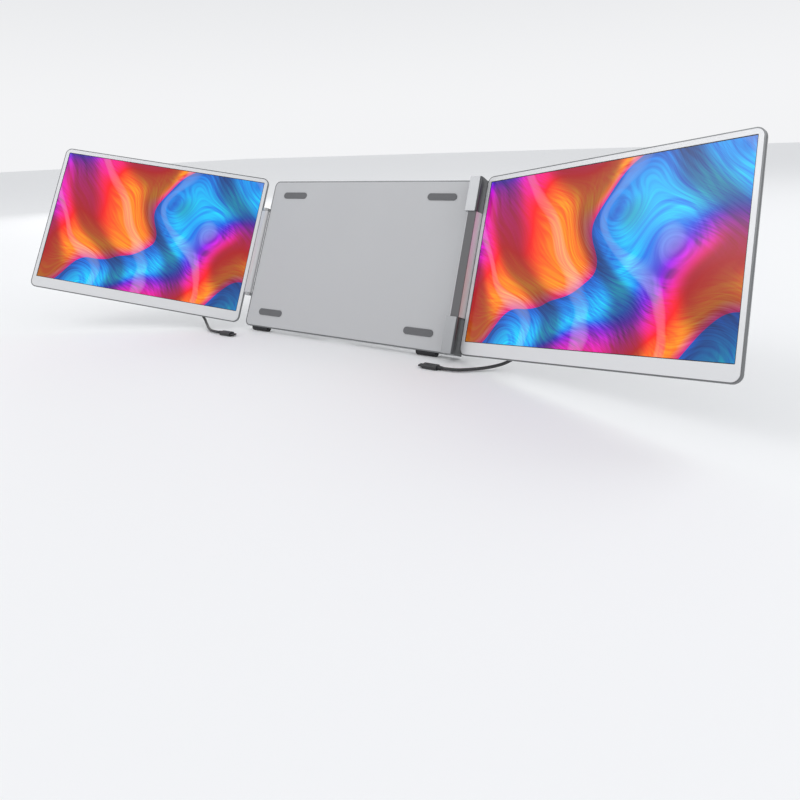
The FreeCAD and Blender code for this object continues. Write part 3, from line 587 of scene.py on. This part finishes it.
# Rubber and silicone: the feet, the strip on the kickstand, the pads and the round cap. Matt and a
# little mottled, as moulded rubber is.
RUBBER_BLACK = (0.022, 0.022, 0.024)
SILICONE_GREY = (0.13, 0.132, 0.138)
RUBBER_CLOUD = 0.07


def rubber(name, colour, roughness):
    """Matt moulded rubber."""
    material, shader, add, link = new_material(name)
    shader.inputs["Base Color"].default_value = (*colour, 1)
    shader.inputs["Specular IOR Level"].default_value = 0.4
    add_grain(add, link, shader, size=0.0005, strength=0.5, depth=0.00004)
    add_cloud(add, link, shader.inputs["Roughness"], roughness - RUBBER_CLOUD, roughness + RUBBER_CLOUD,
              scale=90.0)
    return material


black_rubber = rubber("black_rubber", RUBBER_BLACK, roughness=0.7)
grey_silicone = rubber("grey_silicone", SILICONE_GREY, roughness=0.58)
for node in ("left_rubber_foot", "right_rubber_foot", "kickstand_foot"):
    dress(node, black_rubber)
for node in ("front_pads", "rear_screw_cap"):
    dress(node, grey_silicone)


# Magnet that holds the folded kickstand: a small disc with a warm nickel plating, let into the floor of
# the housing's recess.
NICKEL = (0.62, 0.60, 0.56)

magnet_finish, shader, add, link = new_material("nickel")
shader.inputs["Metallic"].default_value = 1.0
shader.inputs["Base Color"].default_value = (*NICKEL, 1)
add_cloud(add, link, shader.inputs["Roughness"], low=0.12, high=0.22, scale=300.0)
dress("kickstand_magnet", magnet_finish)


# Front plate of the housing: light grey satin plastic with a fine moulded texture, set into the front of
# the housing's shell.
PLATE_GREY = (0.50, 0.505, 0.515)

plate_finish, shader, add, link = new_material("plate_grey")
shader.inputs["Base Color"].default_value = (*PLATE_GREY, 1)
add_grain(add, link, shader, size=0.0007, strength=0.4, depth=0.00003)
add_cloud(add, link, shader.inputs["Roughness"], low=0.44, high=0.54, scale=12.0)
dress("housing_front_plate", plate_finish)


# Inside each monitor: a bare rolled sheet behind the panel, two green circuit boards and a speaker box
# of black plastic. The cable's two plugs are moulded from the same plastic.
SHEET_GREY = (0.55, 0.55, 0.56)
BOARD_GREENS = [(0.0, (0.006, 0.06, 0.025)), (1.0, (0.02, 0.16, 0.07))]
BOARD_CELLS = 420.0
PLASTIC_BLACK = (0.028, 0.028, 0.030)

sheet_finish, shader, add, link = new_material("rolled_sheet")
shader.inputs["Metallic"].default_value = 1.0
shader.inputs["Base Color"].default_value = (*SHEET_GREY, 1)
add_cloud(add, link, shader.inputs["Roughness"], low=0.35, high=0.5, scale=30.0)

board_finish, shader, add, link = new_material("circuit_board")
place = add("ShaderNodeTexCoord")
cells = add("ShaderNodeTexVoronoi")
cells.inputs["Scale"].default_value = BOARD_CELLS
tracks = add("ShaderNodeValToRGB")
set_ramp(tracks.color_ramp, BOARD_GREENS)
link(place.outputs["Object"], cells.inputs["Vector"])
link(cells.outputs["Distance"], tracks.inputs["Fac"])
link(tracks.outputs["Color"], shader.inputs["Base Color"])
shader.inputs["Roughness"].default_value = 0.35

black_plastic, shader, add, link = new_material("black_plastic")
shader.inputs["Base Color"].default_value = (*PLASTIC_BLACK, 1)
add_grain(add, link, shader, size=0.0004, strength=0.35, depth=0.00003)
add_cloud(add, link, shader.inputs["Roughness"], low=0.38, high=0.50, scale=120.0)
for side in ("left", "right"):
    dress(side + "_panel_backplate", sheet_finish)
    dress(side + "_main_board", board_finish)
    dress(side + "_button_board", board_finish)
    dress(side + "_speaker", black_plastic)
    dress(side + "_monitor_plug", black_plastic)
    dress(side + "_laptop_plug", black_plastic)


# Push buttons on each monitor's top edge: machined aluminium caps, brighter than the shell round them.
# They slide in its recess and press the switches on the button board.
BUTTON_SILVER = (0.70, 0.705, 0.71)

button_finish = brushed("button_silver", BUTTON_SILVER, roughness=0.26)
for side in ("left", "right"):
    for number in (1, 2, 3):
        dress("%s_button_%d" % (side, number), button_finish)


# Tongues of the two empty ports of each monitor, one for data and one for video: a black strip inside
# the metal sleeve, with a row of bare gilt contacts. The rows are laid by Geometry Nodes.
TONGUE_THICK = 0.0007
TONGUE_LENGTH = 0.0045
TONGUE_SETBACK = 0.0008
TONGUE_WIDTHS = {"data": 0.0066, "video": 0.0086}
PORT_SPACING = 0.022
VIDEO_SLEEVE_WIDTH = 0.0114
CONTACT_COUNT = 9
CONTACT_WIDTH = 0.00028
CONTACT_THICK = 0.00006
CONTACT_SHORTER = 0.0016
CONTACT_GOLD = (0.78, 0.56, 0.22)
LINE_INPUTS = [("Count", "NodeSocketInt"), ("Start", "NodeSocketVector"), ("Step", "NodeSocketVector"),
               ("Turn", "NodeSocketVector"), ("Material", "NodeSocketMaterial")]


def line_tree(name, own_inputs):
    """A Geometry Nodes tree that lays a piece at equal steps along a line, with one turn and one
    material. The caller makes the piece from the tree's own inputs and links it as the instance."""
    tree = bpy.data.node_groups.new(name, "GeometryNodeTree")
    tree.is_modifier = True
    for label, kind in LINE_INPUTS + own_inputs:
        tree.interface.new_socket(name=label, in_out="INPUT", socket_type=kind)
    tree.interface.new_socket(name="Geometry", in_out="OUTPUT", socket_type="NodeSocketGeometry")
    link = tree.links.new
    given = tree.nodes.new("NodeGroupInput")
    result = tree.nodes.new("NodeGroupOutput")
    line = tree.nodes.new("GeometryNodeMeshLine")
    spin = tree.nodes.new("FunctionNodeEulerToRotation")
    lay = tree.nodes.new("GeometryNodeInstanceOnPoints")
    realize = tree.nodes.new("GeometryNodeRealizeInstances")
    paint = tree.nodes.new("GeometryNodeSetMaterial")
    link(given.outputs["Count"], line.inputs["Count"])
    link(given.outputs["Start"], line.inputs["Start Location"])
    link(given.outputs["Step"], line.inputs["Offset"])
    link(given.outputs["Turn"], spin.inputs["Euler"])
    link(line.outputs["Mesh"], lay.inputs["Points"])
    link(spin.outputs["Rotation"], lay.inputs["Rotation"])
    link(lay.outputs["Instances"], realize.inputs["Geometry"])
    link(realize.outputs["Geometry"], paint.inputs["Geometry"])
    link(given.outputs["Material"], paint.inputs["Material"])
    link(paint.outputs["Geometry"], result.inputs["Geometry"])
    return tree, given, lay


def grown(name, tree, values):
    """The plain mesh that a tree makes with the given values."""
    made = bpy.data.objects.new(name, bpy.data.meshes.new(name + "_seed"))
    scene.collection.objects.link(made)
    modifier = made.modifiers.new("grow", "NODES")
    modifier.node_group = tree
    for item in tree.interface.items_tree:
        if item.in_out == "INPUT":
            modifier[item.identifier] = values[item.name]
    graph = bpy.context.evaluated_depsgraph_get()
    mesh = bpy.data.meshes.new_from_object(made.evaluated_get(graph))
    mesh.name = name
    made.modifiers.clear()
    made.data = mesh
    return made


def row_tree():
    """Equal bars in a row."""
    tree, given, lay = line_tree("row_of_bars", [("Size", "NodeSocketVector")])
    bar = tree.nodes.new("GeometryNodeMeshCube")
    tree.links.new(given.outputs["Size"], bar.inputs["Size"])
    tree.links.new(bar.outputs["Mesh"], lay.inputs["Instance"])
    return tree


contact_gold, shader, add, link = new_material("contact_gold")
shader.inputs["Metallic"].default_value = 1.0
shader.inputs["Base Color"].default_value = (*CONTACT_GOLD, 1)
add_cloud(add, link, shader.inputs["Roughness"], low=0.22, high=0.3, scale=500.0)
bars = row_tree()

for side in ("left", "right"):
    outward, up, rear = directions(side)
    sleeves = side + "_port_shells"
    mouth = extent(sleeves, outward)[1]
    level = sum(extent(sleeves, rear)) / 2
    middle = extent(sleeves, up)[0] + VIDEO_SLEEVE_WIDTH / 2 + PORT_SPACING
    turn = Matrix((outward, up, rear)).transposed()
    if turn.determinant() < 0:
        turn = Matrix((outward, -up, rear)).transposed()
    for kind, row in (("data", middle + PORT_SPACING), ("video", middle - PORT_SPACING)):
        width = TONGUE_WIDTHS[kind]
        centre = outward * (mouth - TONGUE_SETBACK - TONGUE_LENGTH / 2) + up * row + rear * level
        tongue = grown("%s_%s_tongue" % (side, kind), bars, {
            "Count": 1, "Start": centre, "Step": (0, 0, 0), "Size": (TONGUE_LENGTH, width, TONGUE_THICK),
            "Turn": tuple(turn.to_euler()), "Material": black_plastic})
        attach(tongue, side + "_monitor")
        pitch = width / (CONTACT_COUNT + 1)
        first = centre - up * (pitch * (CONTACT_COUNT - 1) / 2) + rear * (TONGUE_THICK / 2)
        contacts = grown("%s_%s_contacts" % (side, kind), bars, {
            "Count": CONTACT_COUNT, "Start": first, "Step": up * pitch,
            "Size": (TONGUE_LENGTH - CONTACT_SHORTER, CONTACT_WIDTH, CONTACT_THICK),
            "Turn": tuple(turn.to_euler()), "Material": contact_gold})
        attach(contacts, side + "_monitor")


# Rims of the port pocket and of the button recess: the anodising is cut away along the edge by a
# polishing pass, which leaves a thin bright band that follows the slope of the shell.
POCKET = {"near": 0.066, "far": 0.124, "bottom": 0.066, "top": 0.154, "corner": 0.0045}
SLOPE_NEAR = 0.062
SLOPE_FAR = 0.090
THICK_DEPTH = 0.013
RIM_WIDTH = 0.0007
RIM_PROUD = 0.00012
RIM_SUNK = 0.0002
RIM_CLEAR = 0.00002
POLISHED_SILVER = (0.82, 0.825, 0.83)
CORNER_STEPS = 8
RECESS_MARGIN = 0.0026
RECESS_LOW = 0.0048
RECESS_HIGH = 0.0112
RECESS_CORNER = 0.0002
EDGE_START = 0.004
EDGE_SLOPE = 1 / 3


def rim_loop(near, far, bottom, top, corner, extra):
    """A rounded rectangle, grown by the extra, with a point where the shell's slope ends."""
    radius = corner + extra
    loop = []
    for cx, cy, first in ((far - corner, top - corner, 0), (near + corner, top - corner, 90),
                          (near + corner, bottom + corner, 180), (far - corner, bottom + corner, 270)):
        for step in range(CORNER_STEPS + 1):
            angle = math.radians(first + 90 * step / CORNER_STEPS)
            loop.append((cx + radius * math.cos(angle), cy + radius * math.sin(angle)))
        if near + corner < SLOPE_FAR < far - corner and first in (0, 180):
            loop.append((SLOPE_FAR, loop[-1][1]))
    return loop


def rim(name, outer, inner, spot, material, levels=(-RIM_SUNK, RIM_PROUD)):
    """A thin closed band between two loops, from a low level to a high one over the surface."""
    rings = [(outer, levels[0]), (outer, levels[1]), (inner, levels[1]), (inner, levels[0])]
    count = len(outer)
    corners = [spot(a, b, lift) for loop, lift in rings for a, b in loop]
    faces = []
    for ring in range(len(rings)):
        for index in range(count):
            after = (index + 1) % count
            low = ring * count
            high = (ring + 1) % len(rings) * count
            faces.append((low + index, low + after, high + after, high + index))
    made = mesh_object(name, corners, faces, material)
    face = made.data.polygons[count]
    a, b = outer[0]
    if face.normal.dot(Vector(spot(a, b, 1)) - Vector(spot(a, b, 0))) < 0:
        made.data.flip_normals()
    return made


polished, shader, add, link = new_material("polished_aluminium")
shader.inputs["Metallic"].default_value = 1.0
shader.inputs["Base Color"].default_value = (*POLISHED_SILVER, 1)
add_grain(add, link, shader, size=0.0004, strength=0.1)
add_cloud(add, link, shader.inputs["Roughness"], low=0.16, high=0.24, scale=200.0)

for side in ("left", "right"):
    outward, up, rear = directions(side)
    begin = extent(side + "_rear_shell", outward)[0]
    foot, head = extent(side + "_rear_shell", up)
    front = extent(side + "_front_bezel", rear)[0]

    def on_rear(a, b, lift):
        """A place on the shell's rear, from the distances along and up the monitor."""
        part = min(max((a - SLOPE_NEAR) / (SLOPE_FAR - SLOPE_NEAR), 0), 1)
        depth = THICK_DEPTH + (THIN_DEPTH - THICK_DEPTH) * part
        return outward * (begin + a) + up * (foot + b) + rear * (front + depth + lift)

    def on_top(a, b, lift):
        """A place on the shell's top edge, from the distances along the monitor and to its rear."""
        sunk = max(b - EDGE_START, 0) * EDGE_SLOPE
        return outward * (begin + a) + up * (head - sunk + lift) + rear * (front + b)

    size = (POCKET["near"], POCKET["far"], POCKET["bottom"], POCKET["top"], POCKET["corner"])
    pocket_rim = rim(side + "_pocket_rim", rim_loop(*size, RIM_WIDTH), rim_loop(*size, RIM_CLEAR),
                     on_rear, polished)
    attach(pocket_rim, side + "_monitor")
    first = extent(side + "_button_1", outward)[0] - begin - RECESS_MARGIN
    last = extent(side + "_button_3", outward)[1] - begin + RECESS_MARGIN
    size = (first, last, RECESS_LOW, RECESS_HIGH, RECESS_CORNER)
    button_rim = rim(side + "_button_rim", rim_loop(*size, RIM_WIDTH / 2), rim_loop(*size, 0),
                     on_top, polished)
    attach(button_rim, side + "_monitor")


# Bare nameplate near the top of the kickstand: a stamped aluminium plate with a raised bright border and
# a darker satin field, glued into the shallow recess of the leg. It carries no name.
PLATE_DROP = 0.016
PLATE_WIDTH = 0.0354
PLATE_HEIGHT = 0.0114
PLATE_CORNER = 0.0027
PLATE_THICK = 0.00025
PLATE_BORDER = 0.0009
PLATE_FIELD = (0.36, 0.365, 0.375)
LEG_FACE = 0.0016
RECESS_DEPTH = 0.0004

stand = joints["kickstand_hinge"]
opened = Quaternion(Vector((1, 0, 0)), math.radians(abs(stand["range_deg"][0])))
leg_down = opened @ -housing_up
leg_out = opened @ housing_rear
plate_centre = Vector(stand["pos_m"])
plate_centre.x = sum(extent("kickstand_leg", Vector((1, 0, 0)))) / 2
plate_centre = plate_centre + leg_down * PLATE_DROP + leg_out * (LEG_FACE - RECESS_DEPTH)


def on_leg(a, b, lift):
    """A place in the leg's recess, from the distances across and down the leg."""
    return plate_centre + Vector((a, 0, 0)) + leg_down * b + leg_out * lift


plate_size = (-PLATE_WIDTH / 2, PLATE_WIDTH / 2, -PLATE_HEIGHT / 2, PLATE_HEIGHT / 2, PLATE_CORNER)
plate_edge = rim_loop(*plate_size, 0)
count = len(plate_edge)
plate_corners = [on_leg(a, b, lift) for lift in (0, PLATE_THICK / 2) for a, b in plate_edge]
plate_faces = [tuple(range(count)), tuple(range(2 * count - 1, count - 1, -1))]
for index in range(count):
    after = (index + 1) % count
    plate_faces.append((index, index + count, after + count, after))
field = mesh_object("nameplate_field", plate_corners, plate_faces,
                    brushed("nameplate_satin", PLATE_FIELD, roughness=0.42))
if field.data.polygons[0].normal.dot(leg_out) > 0:
    field.data.flip_normals()
border = rim("nameplate_border", plate_edge, rim_loop(*plate_size, -PLATE_BORDER), on_leg, polished,
             (0, PLATE_THICK))
for piece in (field, border):
    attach(piece, "kickstand")


# Strain reliefs of the four plugs: soft black rubber with moulded rings, each ring a little smaller
# than the one before. The rings are laid by Geometry Nodes along each plug's tapered end.
RELIEF_LENGTH = 0.008
RING_COUNT = 5
RING_FIRST = 0.0010
RING_STEP = 0.0014
RING_RADIUS = 0.00262
RING_THICK = 0.00032
RING_LAST_SCALE = 0.80
RING_ROUND_STEPS = 28
RING_SECTION_STEPS = 8
RING_BLACK = (0.024, 0.024, 0.026)


def ring_tree():
    """Rings threaded on a line, from full size down to a share of it."""
    tree, given, lay = line_tree("relief_rings", [
        ("Radius", "NodeSocketFloat"), ("Thickness", "NodeSocketFloat"), ("Last Scale", "NodeSocketFloat")])
    link = tree.links.new
    hoop = tree.nodes.new("GeometryNodeCurvePrimitiveCircle")
    hoop.inputs["Resolution"].default_value = RING_ROUND_STEPS
    section = tree.nodes.new("GeometryNodeCurvePrimitiveCircle")
    section.inputs["Resolution"].default_value = RING_SECTION_STEPS
    sweep = tree.nodes.new("GeometryNodeCurveToMesh")
    smooth = tree.nodes.new("GeometryNodeSetShadeSmooth")
    index = tree.nodes.new("GeometryNodeInputIndex")
    last = tree.nodes.new("ShaderNodeMath")
    last.operation = "SUBTRACT"
    last.inputs[1].default_value = 1
    shrink = tree.nodes.new("ShaderNodeMapRange")
    shrink.inputs["To Min"].default_value = 1
    link(given.outputs["Radius"], hoop.inputs["Radius"])
    link(given.outputs["Thickness"], section.inputs["Radius"])
    link(hoop.outputs["Curve"], sweep.inputs["Curve"])
    link(section.outputs["Curve"], sweep.inputs["Profile Curve"])
    link(sweep.outputs["Mesh"], smooth.inputs["Geometry"])
    link(smooth.outputs["Geometry"], lay.inputs["Instance"])
    link(given.outputs["Count"], last.inputs[0])
    link(index.outputs["Index"], shrink.inputs["Value"])
    link(last.outputs["Value"], shrink.inputs["From Max"])
    link(given.outputs["Last Scale"], shrink.inputs["To Max"])
    link(shrink.outputs["Result"], lay.inputs["Scale"])
    return tree


ring_rubber = rubber("ring_rubber", RING_BLACK, roughness=0.5)
rings = ring_tree()
for side in ("left", "right"):
    outward, up, rear = directions(side)
    flat = Vector((-1, 0, 0)) if side == "left" else Vector((1, 0, 0))
    for plug, body, along_plug, across, level in (
            (side + "_monitor_plug", side + "_monitor", outward, up, rear),
            (side + "_laptop_plug", "housing", flat, Vector((0, 1, 0)), Vector((0, 0, 1)))):
        tail = extent(plug, along_plug)[1] - RELIEF_LENGTH + RING_FIRST
        start = along_plug * tail + across * (sum(extent(plug, across)) / 2)
        start = start + level * (sum(extent(plug, level)) / 2)
        turn = Vector((0, 0, 1)).rotation_difference(along_plug).to_euler()
        piece = grown(plug + "_rings", rings, {
            "Count": RING_COUNT, "Start": start, "Step": along_plug * RING_STEP, "Radius": RING_RADIUS,
            "Thickness": RING_THICK, "Last Scale": RING_LAST_SCALE, "Turn": tuple(turn),
            "Material": ring_rubber})
        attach(piece, body)


# Cables: one from each monitor to the laptop, a 4 mm black jacket about a quarter of a metre long.
# Each leaves its plug along the screen's back, hangs in a loop, passes under the monitor's bottom edge
# and lies on the desk up to the laptop's plug.
CABLE_DIAMETER = 0.004
CABLE_SIDES = 20
CABLE_BLACK = (0.030, 0.030, 0.032)
LINE_STEPS = 8
ROUTES = {
    "left": [
        (-0.2906, 0.002985, 0.123857), (-0.302284, -0.002221, 0.126175), (-0.3173, -0.0077, 0.1221),
        (-0.3294, -0.0137, 0.1074), (-0.3300, -0.0188, 0.0879), (-0.3199, -0.0203, 0.0687),
        (-0.3052, -0.0196, 0.0513), (-0.2906, -0.0194, 0.0320), (-0.2730, -0.0155, 0.0126),
        (-0.2530, -0.0283, 0.0055), (-0.2355, -0.0403, 0.0032), (-0.2215, -0.0468, 0.0030),
        (-0.2075, -0.0468, 0.0030),
    ],
    "right": [
        (0.281366, 0.009387, 0.121007), (0.293503, 0.005131, 0.122902), (0.3090, -0.0001, 0.1174),
        (0.3199, -0.0052, 0.1015), (0.3201, -0.0102, 0.0820), (0.3106, -0.0124, 0.0634),
        (0.2965, -0.0125, 0.0469), (0.2811, -0.0124, 0.0301), (0.2603, -0.0103, 0.0101),
        (0.2405, -0.0228, 0.0040), (0.2195, -0.0388, 0.0030), (0.2025, -0.0488, 0.0030),
        (0.1885, -0.0488, 0.0030),
    ],
}


def smooth_line(route, steps):
    """Points along the smooth line that a route steers."""
    curve = bpy.data.curves.new("route", "CURVE")
    curve.dimensions = "3D"
    curve.resolution_u = steps
    spline = curve.splines.new("NURBS")
    spline.points.add(len(route) - 1)
    for point, place in zip(spline.points, route):
        point.co = (*place, 1)
    spline.order_u = 3
    spline.use_endpoint_u = True
    holder = bpy.data.objects.new("route", curve)
    scene.collection.objects.link(holder)
    bpy.context.view_layer.update()
    mesh = bpy.data.meshes.new_from_object(holder)
    points = [corner.co.copy() for corner in mesh.vertices]
    bpy.data.objects.remove(holder)
    bpy.data.curves.remove(curve)
    return points


def tube(name, points, radius, sides, material):
    """A round tube along the points, closed at both ends."""
    corners = []
    faces = []
    tangents = []
    for before, after in zip([points[0]] + points[:-1], points[1:] + [points[-1]]):
        tangents.append((after - before).normalized())
    across = tangents[0].orthogonal().normalized()
    for index, (place, tangent) in enumerate(zip(points, tangents)):
        if index:
            across = tangents[index - 1].rotation_difference(tangent) @ across
        other = tangent.cross(across)
        for step in range(sides):
            angle = 2 * math.pi * step / sides
            corners.append(place + across * radius * math.cos(angle) + other * radius * math.sin(angle))
    for ring in range(len(points) - 1):
        for step in range(sides):
            a = ring * sides + step
            b = ring * sides + (step + 1) % sides
            faces.append((a, b, b + sides, a + sides))
    faces.append(tuple(reversed(range(sides))))
    last = (len(points) - 1) * sides
    faces.append(tuple(range(last, last + sides)))
    return mesh_object(name, corners, faces, material, smooth=True)


cable_finish, shader, add, link = new_material("cable_jacket")
shader.inputs["Base Color"].default_value = (*CABLE_BLACK, 1)
add_grain(add, link, shader, size=0.0003, strength=0.3)
add_cloud(add, link, shader.inputs["Roughness"], low=0.34, high=0.46, scale=80.0)

for side in ("left", "right"):
    line = smooth_line(ROUTES[side], LINE_STEPS)
    cable = tube(side + "_cable_jacket", line, CABLE_DIAMETER / 2, CABLE_SIDES, cable_finish)
    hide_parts(side + "_cable")
    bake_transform(cable)
